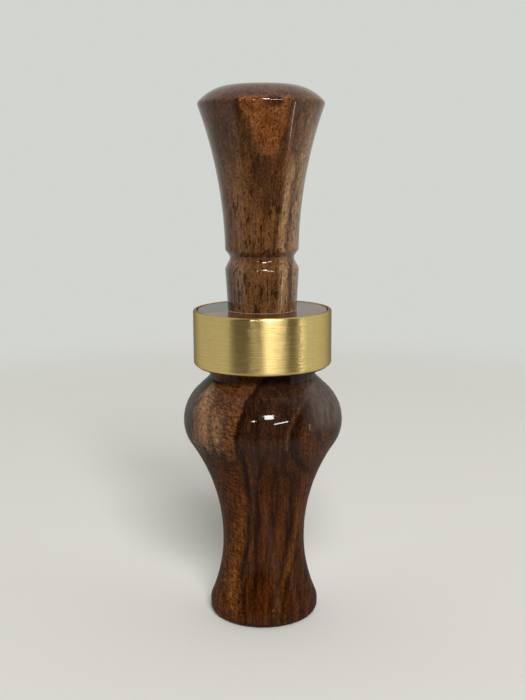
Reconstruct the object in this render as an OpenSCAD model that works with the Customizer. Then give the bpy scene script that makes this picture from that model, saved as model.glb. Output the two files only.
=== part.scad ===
// Turned wooden duck call with a brass band, in millimetres, standing on its mouthpiece.
// Z runs up the call from the mouthpiece's foot to the exhaust end, and the reeds face -Y.
// The insert is pushed into the barrel's bore and carries the tone board, reeds and cork.

/* [Barrel] */
// Height of the wooden barrel, from its foot to the face that the insert enters
barrel_h = 72.7; // [70:0.1:78]
// Straight bore through the barrel, five eighths of an inch
bore_d = 15.875; // [15.5:0.005:16.3]
// Diameter of the lip round the mouthpiece
lip_d = 25.5; // [24:0.1:28]
// Height of the lip's straight side
lip_h = 2.75; // [2:0.05:4]
// Radius that blends the lip into the waist
lip_edge_r = 3; // [1.5:0.1:5]
// Rounding of the foot's outer edge
foot_edge_r = 1.6; // [0.8:0.1:1.9]
// Rounding of the bore's edge at the mouthpiece
mouth_edge_r = 1.2; // [0.6:0.1:1.8]
// Diameter of the waist
waist_d = 19.2; // [18.4:0.1:21]
// Height of the waist above the foot
waist_h = 18.2; // [15:0.1:22]
// Diameter of the bulb
bulb_d = 36.85; // [34:0.05:40]
// Radius of the bulb's lower half, where the waist sweeps into it
bulb_low_r = 9.1; // [6:0.1:10]
// Radius of the bulb's upper half
bulb_top_r = 10.3; // [8:0.1:12]
// Angle over which that half is round, in degrees; it then runs straight to the neck
bulb_top_angle = 46.6; // [35:0.1:60]
// Diameter of the lanyard neck between the bulb and the band
neck_d = 24.4; // [22:0.1:26]
// Height of the neck, from its crease with the bulb to the band's seat
neck_h = 2.5; // [1.5:0.1:3.5]
// Rounding at the top of the neck, under the seat
neck_cove_r = 0.5; // [0.2:0.05:1.2]
// How far the band's seat shows below the band
seat_drop = 0.3; // [0.1:0.05:0.6]
// Bevel of the barrel's edges at the insert's end
face_edge = 0.3; // [0.1:0.05:0.5]

/* [Band] */
// Outer diameter of the brass band, one inch and a quarter
band_d = 31.75; // [31:0.05:33]
// Height of the band, half an inch
band_h = 12.7; // [11:0.1:14]
// Thickness of the band's wall
band_wall = 0.8; // [0.75:0.05:1.4]
// Rounding of the band's lower outer edge
band_low_edge_r = 0.7; // [0.3:0.05:0.7]
// Rounding of the band's upper outer edge
band_top_edge_r = 0.5; // [0.3:0.05:0.7]
// How far the band stands above the barrel's face
band_proud = 0.1; // [0:0.05:1]

/* [Insert] */
// Length of the insert outside the barrel
insert_out_h = 49.8; // [47:0.1:54]
// Length of the insert inside the barrel
tenon_len = 18.4; // [16.5:0.1:20]
// Diameter at the lower edge of the lanyard groove
collar_d = 16.84; // [16.5:0.02:17.6]
// Height of the groove's lower edge above the barrel's face
groove_low_h = 9.5; // [8.5:0.1:10.5]
// Height of the groove's floor above the barrel's face
groove_floor_h = 11.8; // [11.4:0.1:12.4]
// Height of the groove's upper edge above the barrel's face
groove_top_h = 13.6; // [13.2:0.1:14.6]
// Diameter of the groove's floor
groove_floor_d = 14.66; // [13.6:0.02:15.2]
// Rounding of the groove's floor
groove_floor_r = 0.6; // [0.3:0.05:0.8]
// Diameter at the foot of the flare
flare_foot_d = 16.72; // [16.4:0.02:17.4]
// Height above the barrel's face at which the flare's sweep stands upright
flare_foot_h = 12.2; // [9.6:0.1:13]
// Diameter of the flare's rim
rim_d = 28.3; // [26:0.1:30]
// Rounding of the rim
rim_edge_r = 1; // [0.6:0.1:1.4]
// Height of the crown above the rim's widest line
crown_h = 4.15; // [3:0.05:5]
// Diameter of the crown's highest line
crown_d = 12; // [11.4:0.1:13]
// Rounding of the crown into the exhaust mouth
exhaust_lip_r = 0.75; // [0.5:0.05:1.1]
// Depth over which the exhaust mouth narrows to its bore
exhaust_mouth_h = 22; // [14:0.5:28]
// Exhaust bore, five sixteenths of an inch
exhaust_bore_d = 7.94; // [7:0.02:8.4]
// Bevel of the tenon's end
tenon_edge = 0.4; // [0.2:0.05:0.6]

/* [Seals] */
// Thickness of the rubber rings
seal_t = 1.4; // [1.2:0.05:1.6]
// Width of the grooves that hold the rings
seal_groove_w = 2; // [1.8:0.05:2.4]
// Depth of the upper ring's middle below the barrel's face
seal_upper_depth = 4.4; // [3:0.1:5]
// Height of the lower ring's middle above the insert's inner end
seal_lower_h = 6; // [4:0.1:8]

/* [Tone board] */
// Diameter of the tone board's stub, three eighths of an inch
stub_d = 9.525; // [9:0.005:10]
// Length of the stub
stub_len = 11.7; // [9:0.1:14]
// Depth of the insert's mortise past the end of the stub
mortise_spare = 0.3; // [0.1:0.1:1]
// Diameter of the round block that holds the reeds
block_d = 14.6; // [14:0.05:15]
// Height of the block, from the insert's end
block_h = 10.3; // [10:0.1:12]
// Length of the board below the block
board_len = 28.7; // [25:0.1:31]
// Width of the board
board_w = 11; // [10.6:0.1:12]
// Diameter of the board's round back at its tip
tip_back_d = 11.4; // [10:0.1:14]
// Distance of the board's flat from the call's axis, towards the reeds
board_flat_y = 0.6; // [0.4:0.05:1]
// Length of the straight part of the board, below the block
board_straight_h = 6; // [3:0.1:9]
// Gap between the resting reed and the board at the tip
tip_gap = 1.3; // [1:0.05:1.8]
// Width of the sound channel
channel_w = 4.8; // [4.6:0.1:6]
// Distance of the channel's middle behind the call's axis
channel_y = 1; // [0.8:0.05:1.2]
// Solid board left between the channel and the tip
channel_stop_h = 5; // [3:0.1:8]
// Round hole that takes the sound up through the block and stub
throat_d = 4.4; // [4:0.1:4.6]
// Height of the slot for the reeds and cork, across the block
slot_t = 3.2; // [2.8:0.1:3.6]
// Depth of that slot into the block
slot_h = 8.2; // [7:0.1:8.8]

/* [Reeds and cork] */
// Thickness of each reed
reed_t = 0.25; // [0.2:0.01:0.4]
// Width of the reeds
reed_w = 9.5; // [9:0.1:10.5]
// Distance from the long reed's tip to the board's tip
reed_setback = 0.3; // [0.1:0.1:1]
// How much shorter the second reed is
short_reed_less = 3; // [1.5:0.1:5]
// Corner radius of the reeds' tips
reed_corner_r = 1.5; // [0.5:0.1:3]
// How far the cork stands out of the block
cork_out_h = 1.8; // [1:0.1:2.6]
// Thickness of the cork's thin front edge
cork_front_t = 0.9; // [0.5:0.05:1.6]
// Room left above the reeds and cork in the slot
slot_end_gap = 0.2; // [0.1:0.05:0.6]

/* [Fits] */
// Glue film round the band and round the stub
glue_gap = 0.05; // [0.03:0.01:0.08]
// Gap round the tenon in the bore
tenon_gap = 0.14; // [0.1:0.01:0.2]
// Gap round the insert where it enters the barrel's face
root_gap = 0.06; // [0.04:0.01:0.09]
// Height over which the tenon widens to that size
root_lead_h = 0.8; // [0.4:0.1:1.2]
// Gap between the rings and the bore
seal_gap = 0.04; // [0.03:0.01:0.08]
// Gap between the rings and the floor of their grooves
seal_floor_gap = 0.02; // [0.01:0.01:0.05]

/* [Hidden] */

// Fineness of whole rounds and of each drawn arc
round_fn = 96;
arc_steps = 14;
// Every cut runs this far past the face that it starts from
overrun = 1;

// Radii of the named diameters
bore_r = bore_d / 2;
lip_r = lip_d / 2;
waist_r = waist_d / 2;
bulb_r = bulb_d / 2;
neck_r = neck_d / 2;
band_r = band_d / 2;
collar_r = collar_d / 2;
flare_foot_r = flare_foot_d / 2;
rim_r = rim_d / 2;
crown_r = crown_d / 2;
exhaust_bore_r = exhaust_bore_d / 2;
stub_r = stub_d / 2;
block_r = block_d / 2;
seal_r = seal_t / 2;

// Barrel: the band hangs from the face, its seat from the band, and the neck and the bulb from the seat
band_z = barrel_h + band_proud - band_h;
band_bore_r = band_r - band_wall;
seat_r = band_bore_r - glue_gap;
seat_z = band_z - seat_drop;
crease_z = seat_z - neck_h;
slope_len = (bulb_r - bulb_top_r * (1 - cos(bulb_top_angle)) - neck_r) / sin(bulb_top_angle);
bulb_z = crease_z - bulb_top_r * sin(bulb_top_angle) - slope_len * cos(bulb_top_angle);

// Insert
insert_top_z = barrel_h + insert_out_h;
tenon_z = barrel_h - tenon_len;
tenon_r = bore_r - tenon_gap;
root_r = bore_r - root_gap;
rim_z = insert_top_z - crown_h;
seal_ring_r = bore_r - seal_gap - seal_r;
seal_floor_r = seal_ring_r - seal_r - seal_floor_gap;
mortise_r = stub_r + glue_gap;
mortise_top_z = tenon_z + stub_len + mortise_spare;

// Tone board, reeds and cork hang below the insert's end
block_z = tenon_z - block_h;
board_tip_z = block_z - board_len;
slot_top_z = block_z + slot_h - slot_end_gap;
cork_z = block_z - cork_out_h;
reed_tip_z = board_tip_z + reed_setback;

// Points of an arc in degrees about c, without its first point when skip is 1
function arc(c, r, from, to, skip = 0) =
    [for (i = [skip:arc_steps]) let (a = from + (to - from) * i / arc_steps)
        c + r * [cos(a), sin(a)]];

// Radius of a hollow sweep that is upright at radius foot_r and meets a rounding of radius
// edge_r, whose middle stands rise away along the axis at radius edge_mid_r
function sweep_r(foot_r, edge_mid_r, edge_r, rise) =
    (pow(rise, 2) + pow(foot_r - edge_mid_r, 2) - pow(edge_r, 2))
    / (2 * (edge_r - foot_r + edge_mid_r));

// Angle of the line from the rounding's middle to the sweep's middle
function sweep_angle(foot_r, edge_mid_r, sweep, rise) =
    atan2(rise, foot_r + sweep - edge_mid_r);

// Angle at which the line from point p touches a circle about c
function touch_angle(p, c, r, side) =
    atan2(p[1] - c[1], p[0] - c[0]) + side * acos(r / norm(p - c));

// Half section of the barrel, from the mouthpiece's bore round to the face
module barrel() {
    lip_mid = lip_r - lip_edge_r;
    low_r = sweep_r(waist_r, lip_mid, lip_edge_r, waist_h - lip_h);
    low_angle = sweep_angle(waist_r, lip_mid, low_r, waist_h - lip_h);
    bulb_mid = bulb_r - bulb_low_r;
    top_r = sweep_r(waist_r, bulb_mid, bulb_low_r, bulb_z - waist_h);
    top_angle = sweep_angle(waist_r, bulb_mid, top_r, bulb_z - waist_h);
    section = concat(
        arc([bore_r + mouth_edge_r, mouth_edge_r], mouth_edge_r, 180, 270),
        arc([lip_r - foot_edge_r, foot_edge_r], foot_edge_r, 270, 360),
        arc([lip_mid, lip_h], lip_edge_r, 0, low_angle),
        arc([waist_r + low_r, waist_h], low_r, 180 + low_angle, 180, 1),
        arc([waist_r + top_r, waist_h], top_r, 180, 180 - top_angle, 1),
        arc([bulb_mid, bulb_z], bulb_low_r, -top_angle, 0, 1),
        arc([bulb_r - bulb_top_r, bulb_z], bulb_top_r, 0, bulb_top_angle, 1),
        [[neck_r, crease_z]],
        arc([neck_r + neck_cove_r, seat_z - neck_cove_r], neck_cove_r, 180, 90),
        [[seat_r, seat_z], [seat_r, barrel_h - face_edge], [seat_r - face_edge, barrel_h],
         [bore_r + face_edge, barrel_h], [bore_r, barrel_h - face_edge]]);
    color("#3b2216") rotate_extrude($fn = round_fn) polygon(section);
}

// Brass band, glued over the barrel's seat
module band() {
    section = concat(
        [[band_bore_r, band_z]],
        arc([band_r - band_low_edge_r, band_z + band_low_edge_r], band_low_edge_r, 270, 360),
        arc([band_r - band_top_edge_r, band_z + band_h - band_top_edge_r], band_top_edge_r, 0, 90),
        [[band_bore_r, band_z + band_h]]);
    color("#c8a548") rotate_extrude($fn = round_fn) polygon(section);
}

// Outline of a ring groove in the tenon, with its middle at height z
function seal_groove(z) = [
    [tenon_r, z - seal_groove_w / 2], [seal_floor_r, z - seal_groove_w / 2],
    [seal_floor_r, z + seal_groove_w / 2], [tenon_r, z + seal_groove_w / 2]];

// Half section of the insert, up its outside and back down the exhaust
module insert() {
    groove_low = [collar_r, barrel_h + groove_low_h];
    groove_mid = [groove_floor_d / 2 + groove_floor_r, barrel_h + groove_floor_h];
    flare_z = barrel_h + flare_foot_h;
    rim_mid = rim_r - rim_edge_r;
    flare_r = sweep_r(flare_foot_r, rim_mid, rim_edge_r, rim_z - flare_z);
    flare_angle = sweep_angle(flare_foot_r, rim_mid, flare_r, rim_z - flare_z);
    // The flare starts at the groove's upper edge, a little way up its sweep
    flare_start = asin((groove_top_h - flare_foot_h) / flare_r);
    groove_top = [flare_foot_r + flare_r * (1 - cos(flare_start)), barrel_h + groove_top_h];
    // The crown's arc is level over its ridge and touches the rim's rounding from inside
    crown_arc_r = (pow(rim_mid - crown_r, 2) + pow(crown_h, 2) - pow(rim_edge_r, 2))
        / (2 * (crown_h - rim_edge_r));
    crown_mid_z = insert_top_z - crown_arc_r;
    crown_angle = atan2(rim_z - crown_mid_z, rim_mid - crown_r);
    section = concat(
        [[mortise_r, tenon_z], [tenon_r - tenon_edge, tenon_z], [tenon_r, tenon_z + tenon_edge]],
        seal_groove(tenon_z + seal_lower_h),
        seal_groove(barrel_h - seal_upper_depth),
        [[tenon_r, barrel_h - root_lead_h], [root_r, barrel_h], groove_low],
        arc(groove_mid, groove_floor_r,
            360 + touch_angle(groove_low, groove_mid, groove_floor_r, -1),
            touch_angle(groove_top, groove_mid, groove_floor_r, 1)),
        arc([flare_foot_r + flare_r, flare_z], flare_r, 180 - flare_start, 180 - flare_angle),
        arc([rim_mid, rim_z], rim_edge_r, -flare_angle, crown_angle, 1),
        arc([crown_r, crown_mid_z], crown_arc_r, crown_angle, 90, 1),
        arc([crown_r, insert_top_z - exhaust_lip_r], exhaust_lip_r, 90, 180, 1),
        [[exhaust_bore_r, insert_top_z - exhaust_mouth_h],
         [exhaust_bore_r, mortise_top_z], [mortise_r, mortise_top_z]]);
    color("#7a4a28") rotate_extrude($fn = round_fn) polygon(section);
}

// Rubber ring round the tenon, with its middle at height z
module seal_ring(z) {
    color("#1b1b1b") translate([0, 0, z]) rotate_extrude($fn = round_fn)
        translate([seal_ring_r, 0]) circle(r = seal_r, $fn = round_fn);
}

module o_ring_upper() { seal_ring(barrel_h - seal_upper_depth); }

module o_ring_lower() { seal_ring(tenon_z + seal_lower_h); }

// Side view of the space in front of the board, whose edge bends away towards the tip
module board_front() {
    bend_z = block_z - board_straight_h;
    bend_len = bend_z - board_tip_z;
    bend_r = (pow(bend_len, 2) + pow(tip_gap, 2)) / (2 * tip_gap);
    bend_angle = asin((bend_len + overrun) / bend_r);
    polygon(concat(
        [[-block_d, block_z], [-board_flat_y, block_z]],
        arc([bend_r - board_flat_y, bend_z], bend_r, 180, 180 + bend_angle),
        [[-block_d, board_tip_z - overrun]]));
}

// Sound channel seen along the board: upright sides and a round floor
module channel_outline() {
    channel_r = channel_w / 2;
    polygon(concat(
        [[-channel_r, -block_d]],
        arc([0, channel_y], channel_r, 180, 0),
        [[channel_r, -block_d]]));
}

// Lays a side view, drawn in Y and Z, across the call, w wide and centred
module across(w) {
    rotate([90, 0, 90]) translate([0, 0, -w / 2]) linear_extrude(w) children();
}

// Stub, round block and tapering board in one moulding
module tone_board() {
    color("#e4ddc8") difference() {
        union() {
            translate([0, 0, tenon_z - overrun])
                cylinder(h = stub_len + overrun, r = stub_r, $fn = round_fn);
            translate([0, 0, block_z])
                cylinder(h = block_h, r = block_r, $fn = round_fn);
            intersection() {
                translate([0, 0, board_tip_z])
                    cylinder(h = board_len, r1 = tip_back_d / 2, r2 = block_r, $fn = round_fn);
                translate([-board_w / 2, -block_r, board_tip_z])
                    cube([board_w, block_d, board_len]);
            }
        }
        across(block_d + overrun) board_front();
        translate([0, 0, board_tip_z + channel_stop_h])
            linear_extrude(board_len - channel_stop_h) channel_outline();
        translate([0, channel_y, block_z - overrun])
            cylinder(h = block_h + stub_len + 2 * overrun, d = throat_d, $fn = round_fn);
        translate([-block_r - overrun, -board_flat_y - slot_t, block_z - overrun])
            cube([block_d + 2 * overrun, slot_t, slot_h + overrun]);
    }
}

// Thin strip with two round corners at its tip; layer 0 lies on the board
module reed(tip_z, layer) {
    corner_x = reed_w / 2 - reed_corner_r;
    outline = concat(
        arc([-corner_x, tip_z + reed_corner_r], reed_corner_r, 180, 270),
        arc([corner_x, tip_z + reed_corner_r], reed_corner_r, 270, 360),
        [[reed_w / 2, slot_top_z], [-reed_w / 2, slot_top_z]]);
    translate([0, -board_flat_y - layer * reed_t, 0])
        rotate([90, 0, 0]) linear_extrude(reed_t) polygon(outline);
}

module long_reed() { color("#d9d2bd") reed(reed_tip_z, 0); }

module short_reed() { color("#cfc8b4") reed(reed_tip_z + short_reed_less, 1); }

// Cork that wedges the reeds against the board, bevelled on its front
module cork_wedge() {
    back_y = -board_flat_y - 2 * reed_t;
    front_y = -board_flat_y - slot_t;
    color("#b98a58") across(reed_w) polygon([
        [back_y, slot_top_z], [front_y, slot_top_z], [front_y, block_z],
        [back_y - cork_front_t, cork_z], [back_y, cork_z]]);
}

barrel();
band();
insert();
o_ring_upper();
o_ring_lower();
tone_board();
long_reed();
short_reed();
cork_wedge();
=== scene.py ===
import math
import bmesh
import bpy
from mathutils import Matrix, Vector


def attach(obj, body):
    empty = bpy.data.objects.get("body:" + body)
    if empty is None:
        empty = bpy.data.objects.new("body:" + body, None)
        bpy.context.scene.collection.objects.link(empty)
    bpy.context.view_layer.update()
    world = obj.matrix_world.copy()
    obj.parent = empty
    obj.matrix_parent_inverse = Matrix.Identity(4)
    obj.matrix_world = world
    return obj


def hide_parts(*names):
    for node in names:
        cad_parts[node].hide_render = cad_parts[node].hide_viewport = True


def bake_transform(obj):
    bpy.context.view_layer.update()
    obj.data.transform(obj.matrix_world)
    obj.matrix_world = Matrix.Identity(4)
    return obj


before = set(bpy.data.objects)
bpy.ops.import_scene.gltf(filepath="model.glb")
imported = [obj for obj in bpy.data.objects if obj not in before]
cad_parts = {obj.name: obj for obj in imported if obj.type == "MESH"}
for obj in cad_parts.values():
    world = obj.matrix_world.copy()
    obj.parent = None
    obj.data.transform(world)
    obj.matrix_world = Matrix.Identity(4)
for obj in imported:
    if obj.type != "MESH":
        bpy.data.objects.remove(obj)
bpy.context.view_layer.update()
mm = 0.001
print("frame loaded with", len(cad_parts), "CAD nodes")

# Settings that many shader nodes share
smooth = dict(interpolation_type="SMOOTHSTEP")
inColour = dict(out=2, data_type="RGBA")
timesColour = dict(out=2, data_type="RGBA", blend_type="MULTIPLY")


# sRGB hex to the linear values that the shaders take
def tint(hexCode):
    levels = [int(hexCode[start:start + 2], 16) / 255 for start in (1, 3, 5)]
    linear = [level / 12.92 if level <= 0.04045 else ((level + 0.055) / 1.055) ** 2.4 for level in levels]
    return linear + [1.0]


# Adds one node. Sockets in links are joined, other values are set, and stops fill a colour ramp
# whose places run over span. A Mix node takes its share in 0, numbers in 2 and 3, colours in 6 and 7
def addNode(tree, kind, links=None, stops=None, span=(0.0, 1.0), out=0, **settings):
    node = tree.nodes.new("ShaderNode" + kind)
    for name, value in settings.items():
        setattr(node, name, value)
    for name, value in (links or {}).items():
        if isinstance(value, bpy.types.NodeSocket):
            tree.links.new(value, node.inputs[name])
        else:
            node.inputs[name].default_value = value
    if stops:
        elements = node.color_ramp.elements
        for count, (place, tone) in enumerate(stops):
            place = (place - span[0]) / (span[1] - span[0])
            stop = elements[count] if count < 2 else elements.new(place)
            stop.position = place
            stop.color = tint(tone)
    return node.outputs[out] if node.outputs else None


# The two ends of what a MapRange node reads, and what it gives at each
def fromTo(start, end, low=0.0, high=1.0):
    return {1: start, 2: end, 3: low, 4: high}


# A phone's view from a little above the call, tipped down and a touch off level, in millimetres
cameraSetup = dict(place=(0.0, -227.0, 105.7), down=10.63, roll=-0.34, lens=51.43, sensorHeight=36.0,
                   nearest=10.0)

camera = bpy.data.objects.new("photoCamera", bpy.data.cameras.new("photoCamera"))
camera.data.sensor_fit = "VERTICAL"
camera.data.sensor_height = cameraSetup["sensorHeight"]
camera.data.lens = cameraSetup["lens"]
camera.data.clip_start = cameraSetup["nearest"] * mm
camera.matrix_world = (Matrix.Translation(Vector(cameraSetup["place"]) * mm)
                       @ Matrix.Rotation(math.radians(90 - cameraSetup["down"]), 4, "X")
                       @ Matrix.Rotation(math.radians(cameraSetup["roll"]), 4, "Z"))
bpy.context.scene.collection.objects.link(camera)
bpy.context.scene.camera = camera
bpy.context.scene.view_settings.view_transform = "Standard"
print("camera placed")


# Lengths are in metres here. Directions are degrees to the right of the camera side and above the
# call's middle, and a lamp's width and height are the degrees that it fills. A fade has its two ends,
# and then its value at each where those aren't 0 and 1
studio = dict(
    middle=(0.0, 0.0, 0.09), distance=2.5,
    lamps=[  # name, right, up, width, height, tilt, radiance, and whether it only shows in the gloss
        ("softLamp", 10.0, 38.0, 24.0, 18.0, 0.0, 23.0, False),
        ("keyLamp", 10.0, 36.6, 12.0, 10.0, 0.0, 66.0, True),
        ("longLamp", 27.0, 20.5, 20.0, 2.4, 8.0, 70.0, True),
        ("smallLamp", -14.0, 26.5, 3.6, 3.2, 0.0, 80.0, True)],
    glint=dict(right=64.5, distance=0.12, low=0.036, high=0.062, width=1.2, radiance=10.0),
    darkFront="#3f3027", frontSlopes=(0.72, -0.52), frontFade=(-0.1, 0.1),
    daylight="#fdfffa", daylightFade=(-0.75, -0.2, 0.36, 0.6), leftShade=(-0.2, -0.75, 0.0, 0.22),
    background="#d3d5d0", floor="#dedcd7", floorReach=1.2, floorSides=96,
    floorShift=0.1, floorFade=(0.15, 0.3))


# A lamp of a given size that shines back towards the place that it stands away from
def addLamp(name, place, away, wide, high, tilt, radiance):
    lamp = bpy.data.lights.new(name, "AREA")
    lamp.shape = "RECTANGLE"
    lamp.size = wide
    lamp.size_y = high
    lamp.energy = radiance * math.pi * lamp.size * lamp.size_y
    lampObject = bpy.data.objects.new(name, lamp)
    lampObject.matrix_world = (Matrix.Translation(place) @ away.to_track_quat("Z", "Y").to_matrix().to_4x4()
                               @ Matrix.Rotation(math.radians(tilt), 4, "Z"))
    lampObject.visible_camera = False
    bpy.context.scene.collection.objects.link(lampObject)
    return lampObject


# Length that fills so many degrees at a distance
def filledLength(degrees, distance):
    return 2 * distance * math.tan(math.radians(degrees / 2))


for name, right, up, wide, high, tilt, radiance, glintOnly in studio["lamps"]:
    turn, lift = math.radians(right), math.radians(up)
    away = Vector((math.sin(turn) * math.cos(lift), -math.cos(turn) * math.cos(lift), math.sin(lift)))
    lampObject = addLamp(name, Vector(studio["middle"]) + away * studio["distance"], away,
                         filledLength(wide, studio["distance"]), filledLength(high, studio["distance"]),
                         tilt, radiance)
    lampObject.visible_diffuse = not glintOnly
    lampObject.visible_glossy = glintOnly

# A thin upright strip at the right that shows only as a glint in the lacquer and the brass
glint = studio["glint"]
turn = math.radians(glint["right"])
away = Vector((math.sin(turn), -math.cos(turn), 0))
place = away * glint["distance"] + Vector((0, 0, (glint["low"] + glint["high"]) / 2))
strip = addLamp("glintStrip", place, away, filledLength(glint["width"], glint["distance"]),
                glint["high"] - glint["low"], 0.0, glint["radiance"])
strip.visible_diffuse = False

# Surroundings: pale at the sides and behind, and a darker half behind the camera
world = bpy.data.worlds.new("paleSurroundings")
bpy.context.scene.world = world
world.use_nodes = True
tree = world.node_tree
tree.nodes.clear()
heading = addNode(tree, "SeparateXYZ", {0: addNode(tree, "TexCoord")}).node.outputs
toLeft = addNode(tree, "Math", {0: heading[0], 1: studio["frontSlopes"][0]}, operation="MULTIPLY")
toRight = addNode(tree, "Math", {0: heading[0], 1: studio["frontSlopes"][1]}, operation="MULTIPLY")
sideways = addNode(tree, "Math", {0: toLeft, 1: toRight}, operation="MINIMUM")
frontness = addNode(tree, "Math", {0: heading[1], 1: -1.0, 2: sideways}, operation="MULTIPLY_ADD")
frontMask = addNode(tree, "MapRange", {0: frontness} | fromTo(*studio["frontFade"]), **smooth)
rightness = addNode(tree, "Math", {0: heading[0], 1: heading[1]}, operation="ADD")
level = addNode(tree, "MapRange", {0: rightness} | fromTo(*studio["daylightFade"]), **smooth)
around = addNode(tree, "Mix", {0: 1.0, 6: tint(studio["daylight"]), 7: level}, **timesColour)
# Camera, gloss and clear film all see the pale background, and gloss also the darker half
rays = addNode(tree, "LightPath").node.outputs
clear = addNode(tree, "Math", {0: rays["Is Camera Ray"], 1: rays["Is Transmission Ray"]},
                operation="MAXIMUM")
notClear = addNode(tree, "Math", {0: 1.0, 1: clear}, operation="SUBTRACT")
seen = addNode(tree, "Math", {0: clear, 1: rays["Is Glossy Ray"]}, operation="MAXIMUM")
around = addNode(tree, "Mix", {0: seen, 6: around, 7: tint(studio["background"])}, **inColour)
leftMask = addNode(tree, "MapRange", {0: rightness} | fromTo(*studio["leftShade"]), **smooth)
leftMask = addNode(tree, "Math", {0: leftMask, 1: rays["Is Glossy Ray"]}, operation="MULTIPLY")
dark = addNode(tree, "Math", {0: frontMask, 1: leftMask}, operation="MAXIMUM")
dark = addNode(tree, "Math", {0: dark, 1: notClear}, operation="MULTIPLY")
around = addNode(tree, "Mix", {0: dark, 6: around, 7: tint(studio["darkFront"])}, **inColour)
sky = addNode(tree, "Background", {"Color": around, "Strength": 1.0})
addNode(tree, "OutputWorld", {"Surface": sky})

# A plain pale floor that fades into the background at its rim
bm = bmesh.new()
bmesh.ops.create_circle(bm, cap_ends=True, segments=studio["floorSides"], radius=studio["floorReach"])
floorMesh = bpy.data.meshes.new("paleFloor")
bm.to_mesh(floorMesh)
bm.free()
floor = bpy.data.objects.new("paleFloor", floorMesh)
bpy.context.scene.collection.objects.link(floor)
floorPaint = bpy.data.materials.new("matt floor paint")
floorPaint.use_nodes = True
tree = floorPaint.node_tree
tree.nodes.clear()
spot = addNode(tree, "VectorMath", {0: addNode(tree, "TexCoord", out=3), 1: (0, studio["floorShift"], 0)},
               operation="SUBTRACT")
fromMiddle = addNode(tree, "VectorMath", {0: spot}, out=1, operation="LENGTH")
rim = addNode(tree, "MapRange", {0: fromMiddle} | fromTo(*studio["floorFade"]), **smooth)
paint = addNode(tree, "BsdfDiffuse", {"Color": tint(studio["floor"])})
faded = addNode(tree, "MixShader", {0: rim, 1: paint, 2: addNode(tree, "BsdfTransparent")})
addNode(tree, "OutputMaterial", {"Surface": faded})
floorMesh.materials.append(floorPaint)
print("studio lit")


# Points of an arc from one angle to another, in degrees
def arc(middle, radius, start, end, steps=22):
    turns = [math.radians(start + (end - start) * step / steps) for step in range(steps + 1)]
    return [(middle[0] + radius * math.cos(turn), middle[1] + radius * math.sin(turn)) for turn in turns]


# A hollow sweep that stands upright at radius foot and meets an edge rounding further along the
# axis: its radius, and the angle at which they meet
def sweep(foot, edgeMiddle, edge, rise):
    radius = (rise ** 2 + (foot - edgeMiddle) ** 2 - edge ** 2) / (2 * (edge - foot + edgeMiddle))
    return radius, math.degrees(math.atan2(rise, foot + radius - edgeMiddle))


# Angle at which a line from point touches a circle
def touchAngle(point, middle, radius, side):
    across, up = point[0] - middle[0], point[1] - middle[1]
    return math.degrees(math.atan2(up, across) + side * math.acos(radius / math.hypot(across, up)))


# Turns a bmesh into a finished piece: smooth faces, and flat ones kept flat up to their edges
def finishPiece(bm, name, body, node, material, sharpAngle=42.0):
    mesh = bpy.data.meshes.new(name)
    bm.to_mesh(mesh)
    bm.free()
    mesh.shade_smooth()
    mesh.set_sharp_from_angle(angle=math.radians(sharpAngle))
    mesh.materials.append(material)
    piece = bpy.data.objects.new(name, mesh)
    bpy.context.scene.collection.objects.link(piece)
    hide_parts(node)
    if body:
        weighted = piece.modifiers.new("evenNormals", "WEIGHTED_NORMAL")
        weighted.keep_sharp = True
        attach(piece, body)
    print("made", name, "with", len(mesh.polygons), "faces")
    return piece


# Rounds edges, or corners where affect says VERTICES, by an offset in millimetres
def roundOff(bm, geom, offset, segments, affect="EDGES"):
    bmesh.ops.bevel(bm, geom=geom, offset=offset * mm, offset_type="OFFSET", segments=segments,
                    profile=0.5, affect=affect, clamp_overlap=True, material=-1)


# Merging and height differences are in metres, and rings sharper than so many degrees are softened
lathe = dict(turns=168, merged=1e-7, level=1e-9, sharp=22.0, roundSegments=8, softSegments=3)


# Spins a closed half section, in millimetres, round the call's axis and softens its sharp rings, after
# rounding the ring at a given height by more
def turnOnLathe(section, soften, turns=lathe["turns"], rounded=None):
    bm = bmesh.new()
    points = [bm.verts.new((radius * mm, 0.0, height * mm)) for radius, height in section]
    outline = [bm.edges.new(pair) for pair in zip(points, points[1:] + points[:1])]
    bmesh.ops.spin(bm, geom=points + outline, cent=(0, 0, 0), axis=(0, 0, 1), angle=math.tau,
                   steps=turns, use_merge=True)
    bmesh.ops.remove_doubles(bm, verts=bm.verts, dist=lathe["merged"])
    bmesh.ops.recalc_face_normals(bm, faces=bm.faces)
    if rounded:
        height, offset = rounded
        ring = [edge for edge in bm.edges
                if all(abs(end.co.z - height * mm) < lathe["merged"] for end in edge.verts)]
        roundOff(bm, ring, offset, lathe["roundSegments"])
    rings = [edge for edge in bm.edges if abs(edge.verts[0].co.z - edge.verts[1].co.z) < lathe["level"]
             and edge.is_convex and edge.calc_face_angle(0) > math.radians(lathe["sharp"])]
    if soften and rings:
        roundOff(bm, rings, soften, lathe["softSegments"])
    return bm


# Starts a material: its tree and the position in millimetres
def startMaterial(name):
    material = bpy.data.materials.new(name)
    material.use_nodes = True
    tree = material.node_tree
    tree.nodes.clear()
    place = addNode(tree, "VectorMath", {0: addNode(tree, "TexCoord", out=3), 1: (1 / mm,) * 3},
                    operation="MULTIPLY")
    return material, tree, place


# Noise whose patches measure so many millimetres in each direction
def patchNoise(tree, place, size, detail=2.0, rough=0.5):
    perMm = tuple(1 / length for length in size)
    scaled = addNode(tree, "VectorMath", {0: place, 1: perMm}, operation="MULTIPLY")
    return addNode(tree, "TexNoise", {"Vector": scaled, "Scale": 1.0, "Detail": detail, "Roughness": rough})


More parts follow.
